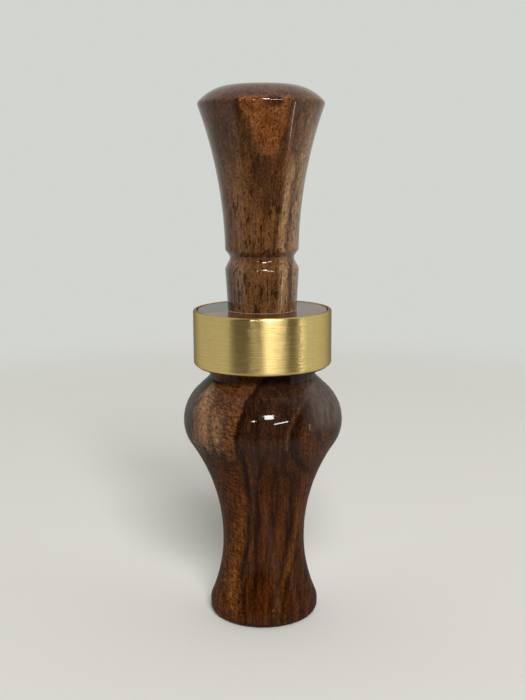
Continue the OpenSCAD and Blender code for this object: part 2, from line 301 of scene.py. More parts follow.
# The same, with its middle stretch spread to a chosen range
def patches(tree, place, size, low, high, detail=2.0, rough=0.5, edges=(0.34, 0.66)):
    noise = patchNoise(tree, place, size, detail, rough)
    return addNode(tree, "MapRange", {0: noise} | fromTo(*edges, low, high), **smooth)


# Starts a wood: its patterns, the ways that its figure is laid out along, and its fades. The place
# across the grain wanders slowly and wavers, as growth layers do
def startWood(name, kit):
    material, tree, place = startMaterial(name)
    parts = addNode(tree, "SeparateXYZ", {0: place}).node.outputs
    noise = {label: patches(tree, place, *settings) for label, settings in kit["patterns"].items()}
    across = parts[0]
    for label in ("wander", "waver"):
        across = addNode(tree, "Math", {0: across, 1: noise[label]}, operation="ADD")
    ways = dict(right=parts[0], back=parts[1], up=parts[2], across=across)
    fades = {label: addNode(tree, "MapRange", {0: ways[way]} | fromTo(*ends), **smooth)
             for label, (way, *ends) in kit["fades"].items()}
    return material, tree, place, ways, noise, fades


# Wood between two tones, mixed by fine streaks along the grain
def streakedWood(tree, place, kit, dark, light, size):
    streaks = patches(tree, place, size, 0.0, 1.0, 3.0, 0.6)
    tones = kit["tones"]
    return addNode(tree, "Mix", {0: streaks, 6: tint(tones[dark]), 7: tint(tones[light])}, **inColour)


# Lays stripes over a colour. Each one's middle is the parabola through its three points, and its ends
# fade over 2 mm each way
def layStripes(tree, colour, ways, fade, kit, which="stripes", endFade=2.0):
    across, up = ways["across"], ways["up"]
    for tone, share, half, soft, points, (foot, top) in kit[which]:
        (lowHeight, lowPlace), (midHeight, midPlace), (topHeight, topPlace) = points
        lowSlope = (midPlace - lowPlace) / (midHeight - lowHeight)
        topSlope = (topPlace - midPlace) / (topHeight - midHeight)
        bow = (topSlope - lowSlope) / (topHeight - lowHeight)
        lean = lowSlope - bow * (lowHeight + midHeight)
        start = lowPlace - lean * lowHeight - bow * lowHeight ** 2
        middle = addNode(tree, "Math", {0: up, 1: bow, 2: lean}, operation="MULTIPLY_ADD")
        middle = addNode(tree, "Math", {0: middle, 1: up, 2: start}, operation="MULTIPLY_ADD")
        aside = addNode(tree, "Math", {0: across, 1: middle}, operation="SUBTRACT")
        aside = addNode(tree, "Math", {0: aside}, operation="ABSOLUTE")
        mask = addNode(tree, "MapRange", {0: aside} | fromTo(half + soft, half - soft, 0.0, share), **smooth)
        begun = addNode(tree, "MapRange", {0: up} | fromTo(foot - endFade, foot + endFade), **smooth)
        ended = addNode(tree, "MapRange", {0: up} | fromTo(top + endFade, top - endFade), **smooth)
        for factor in (begun, ended, fade):
            mask = addNode(tree, "Math", {0: mask, 1: factor}, operation="MULTIPLY")
        colour = addNode(tree, "Mix", {0: mask, 6: colour, 7: tint(kit["tones"][tone])}, **inColour)
    return colour


# Clear lacquer, rubbed out to a gloss: the wood below is matt, and its pores show faintly through
lacquer = dict(woodRoughness=0.5, poreDepth=0.6, woodBump=0.5, woodDepth=0.00003,
               coatRoughness=0.045, coatBump=0.3, coatDepth=0.000006)


def finishLacquer(material, tree, colour, pores, grain, weight, ior):
    relief = addNode(tree, "Math", {0: pores, 1: -lacquer["poreDepth"], 2: grain}, operation="MULTIPLY_ADD")
    woodNormal = addNode(tree, "Bump", {"Height": relief, "Strength": lacquer["woodBump"],
                                        "Distance": lacquer["woodDepth"]})
    coatNormal = addNode(tree, "Bump", {"Height": pores, "Strength": lacquer["coatBump"],
                                        "Distance": lacquer["coatDepth"]}, invert=True)
    shader = addNode(tree, "BsdfPrincipled", {
        "Base Color": colour, "Roughness": lacquer["woodRoughness"], "Specular IOR Level": 0.0,
        "Normal": woodNormal, "Coat Weight": weight, "Coat Roughness": lacquer["coatRoughness"],
        "Coat IOR": ior, "Coat Normal": coatNormal})
    addNode(tree, "OutputMaterial", {"Surface": shader})
    return material


# Dark striped hardwood under a rubbed-out gloss finish: growth layers in near-black and brown, gold
# wood down the left of the waist and an orange cloud on the left of the bulb. Lengths are millimetres.
# A pattern has its patches' size, its lowest and highest value, and then detail, roughness and the
# noise at its two ends. A fade has the way that it runs, its two ends, and its value at each where
# those aren't 0 and 1. A stripe has its tone, share, half width and softness, three points (height,
# place across) on its middle, and the heights between which it shows
barrelWood = dict(
    tones=dict(line="#180801", dark="#2d1305", brown="#47260d", red="#4f270c", gold="#5a300c",
               ochre="#6e4016", olive="#4a2d10", upperDark="#2b170d", upperBrown="#382216",
               tan="#765840", curl="#8c6a45", mauve="#665a52"),
    lowWood=("dark", "brown", (1.3, 3, 30)),
    highWood=("upperDark", "upperBrown", (1.5, 3, 30)),
    patterns=dict(
        wander=((14, 14, 34), -0.4, 0.4),
        waver=((1.4, 1.4, 7), -0.2, 0.2),
        fade=((0.8, 1.5, 6), 0.5, 1.0, 2.0, 0.6),
        cloudFoot=((1.2, 1.2, 4), -1.6, 1.6, 3.0, 0.6),
        cloudSide=((2, 2, 5), -1.0, 1.0),
        lines=((0.45, 1.6, 9), 0.66, 1.38, 3.0, 0.65),
        mottle=((0.42, 0.5, 0.9), 0.66, 1.4, 2.0, 0.6),
        pores=((0.26, 0.26, 1.2), 0.0, 1.0, 1.0, 0.5, (0.60, 0.70))),
    ripples=((1.6, 1.6, 0.4), 0.42, 1.46, 3.0, 0.65), rippleSlope=0.3,
    fades=dict(
        upper=("up", 36.0, 50.0),
        gold=("across", -3.6, -5.2),
        cloudLeft=("across", -13.4, -11.2, 0.4, 0.95),
        rightGold=("across", 7.4, 9.0, 0.0, 0.8),
        rightTop=("up", 50.0, 46.0),
        front=("back", 3.0, -7.0),
        coat=("up", 38.0, 48.0, 0.16, 0.33)),
    stripes=[
        ("gold", 0.7, 3.2, 1.2, ((4, -8.8), (20, -7.4), (38, -8.4)), (0, 41)),
        ("ochre", 0.6, 1.2, 0.8, ((4, -7.8), (16, -6.2), (28, -5.8)), (4, 31)),
        ("ochre", 0.7, 1.0, 0.7, ((2, -8.2), (8, -7.6), (14, -6.9)), (3, 13)),
        ("gold", 0.5, 0.9, 0.7, ((28, -6.4), (34, -7.0), (40, -7.4)), (27, 38)),
        ("red", 0.5, 1.2, 0.8, ((4, -1.2), (22, 0.1), (44, 0.6)), (2, 40)),
        ("red", 0.7, 0.7, 0.6, ((8, 1.4), (16, 3.1), (28, 4.7)), (6, 32)),
        ("gold", 0.6, 2.4, 1.2, ((22, 9.6), (36, 10.8), (44, 12.4)), (20, 46)),
        ("gold", 0.7, 1.3, 0.8, ((40, 10.4), (46, 9.8), (50, 9.9)), (42, 49)),
        ("line", 0.9, 0.55, 0.45, ((11, -4.9), (22, -3.6), (44, -5.2)), (10, 46)),
        ("olive", 0.6, 0.4, 0.4, ((14, -3.9), (24, -2.8), (44, -4.3)), (10, 48)),
        ("line", 0.8, 0.4, 0.4, ((4, -2.2), (22, -1.6), (44, -1.2)), (3, 52)),
        ("line", 0.7, 0.8, 0.6, ((8, -0.7), (12, -0.6), (17, 0.4)), (9, 15)),
        ("dark", 0.8, 0.45, 0.4, ((6, -0.4), (18, 0.9), (30, 1.9)), (5, 37)),
        ("line", 0.8, 0.6, 0.5, ((8, 3.5), (18, 5.6), (32, 6.2)), (6, 38)),
        ("ochre", 0.34, 0.45, 0.5, ((5, 2.9), (11, 4.9), (17, 7.0)), (4, 18)),
        ("line", 0.7, 0.4, 0.4, ((5, 4.8), (11, 6.2), (16, 8.2)), (4, 17)),
        ("brown", 0.8, 0.4, 0.4, ((4, 5.6), (10, 7.0), (15, 8.8)), (5, 15)),
        ("ochre", 0.5, 0.5, 0.6, ((12, 5.9), (18, 7.0), (25, 7.6)), (11, 26)),
        ("line", 0.85, 0.8, 0.5, ((38, 9.4), (47, 6.9), (54, 10.4)), (36, 54)),
        ("tan", 0.28, 0.3, 0.5, ((44, 5.6), (49, 5.9), (54, 8.9)), (43, 55)),
        ("olive", 0.6, 0.3, 0.3, ((40, 3.6), (45, 4.1), (50, 4.2)), (40, 48)),
        ("line", 0.8, 0.7, 0.5, ((46, -6.0), (52, -4.2), (57, -0.8)), (44, 60))],
    cloud=dict(
        middle=45.0, bow=0.034, right=(-6.3, -7.1), foot=(41.0, 45.5), sideSlope=0.55, side=(-1.0, 1.0),
        span=(-18.0, 0.0),
        # The cloud's greyer left end, where the bulb turns away, is partly a painted reflection of the pale
        # surroundings
        tones=[(-16.4, "#5a4838"), (-15, "#7a5a41"), (-13, "#96704f"), (-11.8, "#7b583c"),
               (-10.2, "#6e4d35"), (-8.5, "#664429"), (-6.6, "#613c20"), (-4, "#5a3620")]),
    cloudStripes=[
        ("line", 0.5, 0.6, 0.5, ((44, -11.3), (47.5, -12.0), (52, -11.7)), (43, 50.5)),
        ("line", 0.6, 0.8, 0.8, ((38, -12.4), (42, -12.2), (46, -11.8)), (40, 43)),
        ("curl", 0.85, 0.7, 0.6, ((44, -10.2), (49, -10.6), (55, -8.8)), (44.5, 50)),
        ("brown", 0.85, 2.3, 1.2, ((50, -9.6), (54, -8.9), (58, -7.2)), (52.5, 59)),
        ("ochre", 1.0, 0.9, 0.6, ((40, -7.2), (45, -7.8), (48, -8.0)), (41, 46)),
        ("line", 0.4, 0.3, 0.3, ((44, -7.4), (50, -8.2), (57, -5.6)), (43, 58))],
    # Painted reflection: paler grey patches on the bulb for the pale surroundings mirrored in the lacquer,
    # and faint grey streaks on the waist
    reflectionStripes=[
        ("mauve", 0.72, 3.8, 1.8, ((46, 15.8), (51, 14.6), (57, 12.6)), (47.5, 60)),
        ("mauve", 0.65, 2.0, 1.2, ((46, -18.2), (51, -17.4), (57, -13.4)), (47, 60)),
        ("mauve", 0.2, 0.4, 1.2, ((9, 3.3), (17, 2.3), (26, 0.9)), (4, 30)),
        ("mauve", 0.12, 0.5, 1.0, ((29, -2.9), (35, -2.6), (43, -1.6)), (26, 46))],
    lineShare=0.9, cloudLineShare=0.35, mottleShare=0.9, poreShare=0.55,
    joint="#b39b88", jointGlintEdge=(8.2, 8.14), faceEdge=(72.3, 72.4), faceCoat=0.75, coatIor=1.5)


# Where the cloud lies: it ends on the right along a curve that opens towards the crease, at its foot
# in ragged tongues, and at the side
def cloudMask(tree, ways, noise, cloud):
    bow = addNode(tree, "Math", {0: ways["up"], 1: cloud["middle"]}, operation="SUBTRACT")
    bow = addNode(tree, "Math", {0: bow, 1: bow}, operation="MULTIPLY")
    edge = addNode(tree, "Math", {0: bow, 1: -cloud["bow"], 2: ways["across"]}, operation="MULTIPLY_ADD")
    mask = addNode(tree, "MapRange", {0: edge} | fromTo(*cloud["right"]), **smooth)
    ragged = addNode(tree, "Math", {0: noise["cloudFoot"], 1: ways["up"]}, operation="ADD")
    rise = addNode(tree, "MapRange", {0: ragged} | fromTo(*cloud["foot"]), **smooth)
    side = addNode(tree, "Math", {0: ways["right"], 1: cloud["sideSlope"], 2: noise["cloudSide"]},
                   operation="MULTIPLY_ADD")
    side = addNode(tree, "Math", {0: side, 1: ways["back"]}, operation="SUBTRACT")
    side = addNode(tree, "MapRange", {0: side} | fromTo(*cloud["side"]), **smooth)
    for factor in (rise, side):
        mask = addNode(tree, "Math", {0: mask, 1: factor}, operation="MULTIPLY")
    return mask


# Ripples that cross the grain, 0.5 mm from one to the next and sloping down to the right, and how
# strongly they show: in the gold wood, in the cloud but for its left, and in the bulb's right
def rippledGrain(tree, ways, fades, kit):
    slope = addNode(tree, "Math", {0: ways["right"], 1: kit["rippleSlope"], 2: ways["up"]},
                    operation="MULTIPLY_ADD")
    ripplePlace = addNode(tree, "CombineXYZ", {0: ways["right"], 1: ways["back"], 2: slope})
    share = addNode(tree, "Math", {0: fades["gold"], 1: fades["cloudLeft"]}, operation="MULTIPLY")
    rightShare = fades["rightGold"]
    for factor in (fades["upper"], fades["rightTop"]):
        rightShare = addNode(tree, "Math", {0: rightShare, 1: factor}, operation="MULTIPLY")
    share = addNode(tree, "Math", {0: share, 1: rightShare}, operation="MAXIMUM")
    return patches(tree, ripplePlace, *kit["ripples"]), share


def makeBarrelWood(kit):
    material, tree, place, ways, noise, fades = startWood("lacquered striped hardwood", kit)
    lowWood = streakedWood(tree, place, kit, *kit["lowWood"])
    highWood = streakedWood(tree, place, kit, *kit["highWood"])
    colour = addNode(tree, "Mix", {0: fades["upper"], 6: lowWood, 7: highWood}, **inColour)
    colour = layStripes(tree, colour, ways, noise["fade"], kit)
    cloud = cloudMask(tree, ways, noise, kit["cloud"])
    cloudSpan = kit["cloud"]["span"]
    cloudPlace = addNode(tree, "MapRange", {0: ways["across"]} | fromTo(*cloudSpan))
    cloudColour = addNode(tree, "ValToRGB", {0: cloudPlace}, stops=kit["cloud"]["tones"], span=cloudSpan)
    colour = addNode(tree, "Mix", {0: cloud, 6: colour, 7: cloudColour}, **inColour)
    colour = layStripes(tree, colour, ways, noise["fade"], kit, "cloudStripes")
    # All of it has fine brown lines of about 0.5 mm, mottling, and dark pores of 0.2 mm by 1 mm
    ripples, rippleShare = rippledGrain(tree, ways, fades, kit)
    lineShare = addNode(tree, "Math", {0: cloud, 1: kit["cloudLineShare"] - kit["lineShare"],
                                       2: kit["lineShare"]}, operation="MULTIPLY_ADD")
    grain = ((rippleShare, ripples), (lineShare, noise["lines"]), (kit["mottleShare"], noise["mottle"]))
    for share, factor in grain:
        colour = addNode(tree, "Mix", {0: share, 6: colour, 7: factor}, **timesColour)
    poreShare = addNode(tree, "Math", {0: noise["pores"], 1: kit["poreShare"]}, operation="MULTIPLY")
    colour = addNode(tree, "Mix", {0: poreShare, 6: colour, 7: tint(kit["tones"]["line"])}, **inColour)
    # Painted reflection: smoother, paler grey patches on the bulb's right and left stand for the pale
    # surroundings mirrored in the lacquer, and the same grey lays faint streaks down the waist. They fade out
    # round the sides
    frontFade = addNode(tree, "Math", {0: fades["front"], 1: noise["fade"]}, operation="MULTIPLY")
    colour = layStripes(tree, colour, ways, frontFade, kit, "reflectionStripes")
    # Painted highlight: a thin pale ring on the face's bead of lacquer where the insert meets it, standing
    # for the glint along that bead
    flat = addNode(tree, "VectorMath", {0: place, 1: (1, 1, 0)}, operation="MULTIPLY")
    fromAxis = addNode(tree, "VectorMath", {0: flat}, out=1, operation="LENGTH")
    joint = addNode(tree, "MapRange", {0: fromAxis} | fromTo(*kit["jointGlintEdge"]))
    face = addNode(tree, "MapRange", {0: ways["up"]} | fromTo(*kit["faceEdge"]))
    joint = addNode(tree, "Math", {0: joint, 1: face}, operation="MULTIPLY")
    colour = addNode(tree, "Mix", {0: joint, 6: colour, 7: tint(kit["joint"])}, **inColour)
    # The coat is thinner on the waist than on the bulb, and thickest on the flat face
    weight = addNode(tree, "Mix", {0: face, 2: fades["coat"], 3: kit["faceCoat"]})
    return finishLacquer(material, tree, colour, noise["pores"], noise["mottle"], weight, kit["coatIor"])


# Medium brown, open-pored hardwood under the same finish, with lighter and darker layers like the
# barrel's and a tongue of orange wood down the front of the flare. Its settings read as the barrel's
insertWood = dict(
    tones=dict(dark="#4e321c", brown="#70492b", line="#3c2313", ochre="#7a5430", shade="#472c19",
               tan="#a07a54", edge="#967660", flame="#74421f", flameLight="#8f5a32", crown="#664132",
               crownShade="#4a2e22", fleck="#26150b"),
    wood=("dark", "brown", (1.4, 1.4, 14)),
    patterns=dict(
        wander=((9, 9, 26), -0.4, 0.4),
        waver=((0.9, 0.9, 4), -0.25, 0.25),
        fade=((0.8, 0.8, 5), 0.5, 1.0, 2.0, 0.6),
        flameEdge=((0.9, 0.9, 1.8), -0.6, 0.6, 3.0, 0.6),
        flameBody=((2.2, 2.2, 4), 0.0, 1.0),
        crown=((4, 2.5, 4), 0.0, 1.0),
        lines=((0.6, 0.6, 10), 0.82, 1.2, 3.0, 0.6),
        mottle=((0.36, 0.36, 0.55), 0.62, 1.42, 3.0, 0.65),
        crowd=((2.6, 2.6, 5), -0.06, 0.05)),
    fades=dict(
        tip=("up", 106.4, 108.4),
        front=("back", -3.0, -8.0),
        rim=("up", 118.6, 119.8),
        upper=("up", 94.0, 106.0)),
    stripes=[
        ("ochre", 0.75, 2.3, 1.4, ((88, -3.4), (97, -5.0), (106, -6.0)), (87, 106)),
        ("shade", 0.8, 2.9, 1.4, ((94, 1.4), (100, 1.0), (106, 0.6)), (95, 107)),
        ("shade", 0.65, 2.6, 1.8, ((106, -7.6), (112, -8.2), (118, -8.8)), (107, 122)),
        # Painted reflection: this pale stripe down the left edge of the collar and flare stands for the pale
        # surroundings mirrored there
        ("edge", 0.85, 0.9, 0.7, ((74, -8.4), (92, -8.8), (110, -11.6)), (72, 114)),
        ("tan", 0.4, 2.6, 0.9, ((86, 6.4), (97, 7.4), (110, 10.6)), (86, 117)),
        ("line", 0.75, 0.9, 0.7, ((106, -1.0), (112, -3.4), (118, -6.0)), (104, 119)),
        ("line", 0.55, 0.7, 0.6, ((106, 3.8), (112, 5.2), (118, 6.6)), (104, 116)),
        ("tan", 0.9, 0.6, 0.4, ((86, 4.7), (97, 5.3), (106, 6.8)), (86, 106)),
        ("line", 0.5, 0.3, 0.3, ((86, 6.1), (97, 6.5), (106, 7.9)), (86, 105)),
        ("tan", 0.9, 0.6, 0.4, ((86, 7.3), (97, 7.7), (110, 10.2)), (86, 114)),
        ("ochre", 0.5, 5.5, 1.5, ((73, 0), (78, 0), (82, 0)), (70, 84)),
        ("line", 0.85, 0.35, 0.35, ((73, -6.3), (78, -6.8), (82, -7.0)), (70, 82)),
        ("edge", 0.4, 1.0, 0.7, ((73, -5.0), (78, -5.2), (82, -5.4)), (70, 85)),
        ("line", 0.7, 0.4, 0.4, ((73, 1.8), (78, 2.9), (82, 3.4)), (70, 82)),
        ("tan", 0.9, 0.8, 0.4, ((73, 4.1), (78, 4.6), (82, 4.9)), (70, 85)),
        ("line", 0.7, 0.3, 0.3, ((73, 6.0), (78, 6.2), (82, 6.3)), (70, 82)),
        ("tan", 0.9, 0.6, 0.4, ((73, 7.3), (78, 7.4), (82, 7.5)), (70, 85))],
    flame=dict(tip=106.4, rim=119.0, power=0.55, width=5.8, middle=2.0, lean=-1.3, edge=(-0.1, 1.2)),
    rimPatch=dict(place=(2.9, -14.0, 118.2), perMm=(0.46, 0.3, 0.72), edge=(1.15, 0.7, 0.0, 0.7)),
    flecks=dict(lower=((0.5, 0.5, 1.9), 1.5, 0.45), upper=((0.42, 0.42, 0.8), 1.5, 0.45),
                edge=(0.57, 0.63), shares=(0.8, 0.6)),
    lineShare=0.9, mottleShare=0.9, coatWeight=1.0, coatIor=1.4)


# The tongue is a wedge in front with ragged edges, whose width is measured each way at the rim
def flameMask(tree, ways, noise, fades, flame):
    rise = addNode(tree, "MapRange", {0: ways["up"]} | fromTo(flame["tip"], flame["rim"]))
    width = addNode(tree, "Math", {0: rise, 1: flame["power"]}, operation="POWER")
    width = addNode(tree, "Math", {0: width, 1: flame["width"]}, operation="MULTIPLY")
    middle = addNode(tree, "Math", {0: rise, 1: flame["lean"], 2: flame["middle"]}, operation="MULTIPLY_ADD")
    aside = addNode(tree, "Math", {0: ways["right"], 1: middle}, operation="SUBTRACT")
    aside = addNode(tree, "Math", {0: aside}, operation="ABSOLUTE")
    aside = addNode(tree, "Math", {0: aside, 1: noise["flameEdge"]}, operation="ADD")
    inside = addNode(tree, "Math", {0: width, 1: aside}, operation="SUBTRACT")
    mask = addNode(tree, "MapRange", {0: inside} | fromTo(*flame["edge"]), **smooth)
    for factor in (fades["tip"], fades["front"]):
        mask = addNode(tree, "Math", {0: mask, 1: factor}, operation="MULTIPLY")
    return mask


# Many dark flecks of 0.3 mm by 1 mm that crowd together in places, and are rounder towards the rim
def fleckedPores(tree, place, noise, fades, flecks):
    lower, upper = (patchNoise(tree, place, *flecks[label]) for label in ("lower", "upper"))
    crowded = addNode(tree, "Mix", {0: fades["upper"], 2: lower, 3: upper})
    crowded = addNode(tree, "Math", {0: crowded, 1: noise["crowd"]}, operation="ADD")
    return addNode(tree, "MapRange", {0: crowded} | fromTo(*flecks["edge"]), **smooth)


def makeInsertWood(kit):
    material, tree, place, ways, noise, fades = startWood("lacquered brown hardwood", kit)
    tones = {name: tint(tone) for name, tone in kit["tones"].items()}
    colour = streakedWood(tree, place, kit, *kit["wood"])
    colour = layStripes(tree, colour, ways, noise["fade"], kit)
    flame = flameMask(tree, ways, noise, fades, kit["flame"])
    flameColour = addNode(tree, "Mix", {0: noise["flameBody"], 6: tones["flame"], 7: tones["flameLight"]},
                          **inColour)
    colour = addNode(tree, "Mix", {0: flame, 6: colour, 7: flameColour}, **inColour)
    # Over the rim the wood turns reddish, with a darker patch in front
    crown = addNode(tree, "Mix", {0: noise["crown"], 6: tones["crownShade"], 7: tones["crown"]}, **inColour)
    colour = addNode(tree, "Mix", {0: fades["rim"], 6: colour, 7: crown}, **inColour)
    patch = kit["rimPatch"]
    spot = addNode(tree, "VectorMath", {0: place, 1: patch["place"]}, operation="SUBTRACT")
    spot = addNode(tree, "VectorMath", {0: spot, 1: patch["perMm"]}, operation="MULTIPLY")
    spot = addNode(tree, "VectorMath", {0: spot}, out=1, operation="LENGTH")
    spot = addNode(tree, "MapRange", {0: spot} | fromTo(*patch["edge"]), **smooth)
    colour = addNode(tree, "Mix", {0: spot, 6: colour, 7: tones["fleck"]}, **inColour)
    # Fine lines and mottling, and then the flecks, which are fainter towards the rim
    for share, factor in ((kit["lineShare"], noise["lines"]), (kit["mottleShare"], noise["mottle"])):
        colour = addNode(tree, "Mix", {0: share, 6: colour, 7: factor}, **timesColour)
    pores = fleckedPores(tree, place, noise, fades, kit["flecks"])
    poreShare = addNode(tree, "MapRange", {0: fades["upper"]} | fromTo(0.0, 1.0, *kit["flecks"]["shares"]))
    poreShare = addNode(tree, "Math", {0: pores, 1: poreShare}, operation="MULTIPLY")
    colour = addNode(tree, "Mix", {0: poreShare, 6: colour, 7: tones["fleck"]}, **inColour)
    return finishLacquer(material, tree, colour, pores, noise["mottle"], kit["coatWeight"], kit["coatIor"])


# Brass tube, brushed round on the lathe: straight fine lines draw the highlights out along the axis
bandBrass = dict(
    colour="#edd592", lineColour="#d6ba72", edge="#9a99a2", anisotropic=0.98, turn=0.25,
    lines=((1500, 1500, 0.14), 0.0, 1.0, 3.0, 0.7), roughness=(0.0, 1.0, 0.33, 0.24),
    jitter=((2.4, 2.4, 0.16), 0.0, 1.0, 2.0, 0.6), jitterShare=1.1, bump=0.2, depth=0.00002)


def makeBandBrass(kit):
    material, tree, place = startMaterial("satin brushed brass")
    lines = patches(tree, place, *kit["lines"])
    colour = addNode(tree, "Mix", {0: lines, 6: tint(kit["lineColour"]), 7: tint(kit["colour"])}, **inColour)
    rough = addNode(tree, "MapRange", {0: lines} | fromTo(*kit["roughness"]))
    # Each line's slope turns a little round the band, so the highlights have ragged sides
    jitter = patches(tree, place, *kit["jitter"])
    relief = addNode(tree, "Math", {0: jitter, 1: kit["jitterShare"], 2: lines}, operation="MULTIPLY_ADD")
    normal = addNode(tree, "Bump", {"Height": relief, "Strength": kit["bump"], "Distance": kit["depth"]})
    shader = addNode(tree, "BsdfPrincipled", {
        "Base Color": colour, "Metallic": 1.0, "Roughness": rough, "Anisotropic": kit["anisotropic"],
        "Anisotropic Rotation": kit["turn"], "Specular Tint": tint(kit["edge"]), "Normal": normal,
        "Tangent": addNode(tree, "Tangent", direction_type="RADIAL", axis="Z")})
    addNode(tree, "OutputMaterial", {"Surface": shader})
    return material


# Nitrile rubber, moulded and lightly greased: nearly black, with a sheen that varies from speck to
# speck, 0.25 mm each
ringRubber = dict(tones=[(0.3, "#0e0e0e"), (0.7, "#141414")], specks=((0.25, 0.25, 0.25), 3.0),
                  roughness=(0.35, 0.65, 0.32, 0.54), ior=1.52, bump=0.2, depth=0.00002)


def makeRingRubber(kit):
    material, tree, place = startMaterial("greased nitrile rubber")
    specks = patchNoise(tree, place, *kit["specks"])
    rough = addNode(tree, "MapRange", {0: specks} | fromTo(*kit["roughness"]))
    colour = addNode(tree, "ValToRGB", {0: specks}, stops=kit["tones"])
    normal = addNode(tree, "Bump", {"Height": specks, "Strength": kit["bump"], "Distance": kit["depth"]})
    shader = addNode(tree, "BsdfPrincipled", {"Base Color": colour, "Roughness": rough, "Normal": normal,
                                              "IOR": kit["ior"]})
    addNode(tree, "OutputMaterial", {"Surface": shader})
    return material


# Acetal rod, machined: a soft sheen with faint cutter marks across the board
boardAcetal = dict(
    tones=[(0.35, "#d6ceb5"), (0.65, "#e3dcc6")], clouds=(4.0, 4.0, 4.0), marks=(20.0, 20.0, 0.35),
    roughness=(0.3, 0.7, 0.3, 0.44), ior=1.48, bump=0.3, depth=0.00003, subsurface=0.12,
    subsurfaceScale=0.0015)


def makeBoardAcetal(kit):
    material, tree, place = startMaterial("machined ivory acetal")
    colour = addNode(tree, "ValToRGB", {0: patchNoise(tree, place, kit["clouds"])}, stops=kit["tones"])
    marks = patchNoise(tree, place, kit["marks"])
    rough = addNode(tree, "MapRange", {0: marks} | fromTo(*kit["roughness"]))
    normal = addNode(tree, "Bump", {"Height": marks, "Strength": kit["bump"], "Distance": kit["depth"]})
    shader = addNode(tree, "BsdfPrincipled", {
        "Base Color": colour, "Roughness": rough, "Normal": normal, "IOR": kit["ior"],
        "Subsurface Weight": kit["subsurface"], "Subsurface Scale": kit["subsurfaceScale"]})
    addNode(tree, "OutputMaterial", {"Surface": shader})
    return material


# Polyester film, 0.25 mm, evenly matt on both sides: the board shows through it softly
reedFilm = dict(tones=[(0.3, "#e2dfd2"), (0.7, "#eae7dc")], scuffs=((0.4, 0.4, 2.5), 3.0),
                roughness=(0.3, 0.7, 0.46, 0.54), transmission=0.4, ior=1.6)


def makeReedFilm(kit):
    material, tree, place = startMaterial("matt polyester film")
    scuffs = patchNoise(tree, place, *kit["scuffs"])
    rough = addNode(tree, "MapRange", {0: scuffs} | fromTo(*kit["roughness"]))
    colour = addNode(tree, "ValToRGB", {0: scuffs}, stops=kit["tones"])
    shader = addNode(tree, "BsdfPrincipled", {"Base Color": colour, "Roughness": rough, "IOR": kit["ior"],
                                              "Transmission Weight": kit["transmission"]})
    addNode(tree, "OutputMaterial", {"Surface": shader})
    return material


# Natural cork, sliced: cells of about 0.6 mm, and dark open pits spaced 13 to the centimetre
wedgeCork = dict(tones=[(0.35, "#8d6238"), (0.6, "#b98b5a")], blotches=((1.25, 1.25, 1.25), 4.0, 0.65),
                 pit="#4e321c", pits=(10 / 13,) * 3, pitEdge=(0.62, 0.68), pitDepth=1.5, cell=0.6,
                 roughness=0.85, bump=0.6, depth=0.0001)


def makeWedgeCork(kit):
    material, tree, place = startMaterial("sliced natural cork")
    colour = addNode(tree, "ValToRGB", {0: patchNoise(tree, place, *kit["blotches"])}, stops=kit["tones"])
    cells = addNode(tree, "TexVoronoi", {"Vector": place, "Scale": 1 / kit["cell"]})
    pits = addNode(tree, "MapRange", {0: patchNoise(tree, place, kit["pits"])} | fromTo(*kit["pitEdge"]),
                   **smooth)
    colour = addNode(tree, "Mix", {0: pits, 6: colour, 7: tint(kit["pit"])}, **inColour)
    relief = addNode(tree, "Math", {0: pits, 1: -kit["pitDepth"], 2: cells}, operation="MULTIPLY_ADD")
    normal = addNode(tree, "Bump", {"Height": relief, "Strength": kit["bump"], "Distance": kit["depth"]})
    shader = addNode(tree, "BsdfPrincipled", {"Base Color": colour, "Roughness": kit["roughness"],
                                              "Normal": normal})
    addNode(tree, "OutputMaterial", {"Surface": shader})
    return material


print("materials ready to make")


# Barrel, in millimetres up from the foot. The bead of lacquer on its face is drawn as places out from
# the bore and up from the face
barrelShape = dict(height=72.7, bore=7.9375, lip=12.75, lipHeight=2.75, lipEdge=3.0, footEdge=1.6,
                   mouthEdge=1.2, waist=9.6, waistHeight=18.2, bulb=18.425, bulbLow=9.1, bulbTop=10.3,
                   bulbTopAngle=46.6, neck=12.2, neckHeight=2.5, cove=0.5, seat=15.025, seatFoot=59.8,
                   bead=((0.26, 0), (0.22, 0.05), (0.14, 0.07), (0.06, 0.05), (0.02, 0), (0, -0.1)),
                   faceEdge=0.3, soften=0.08)

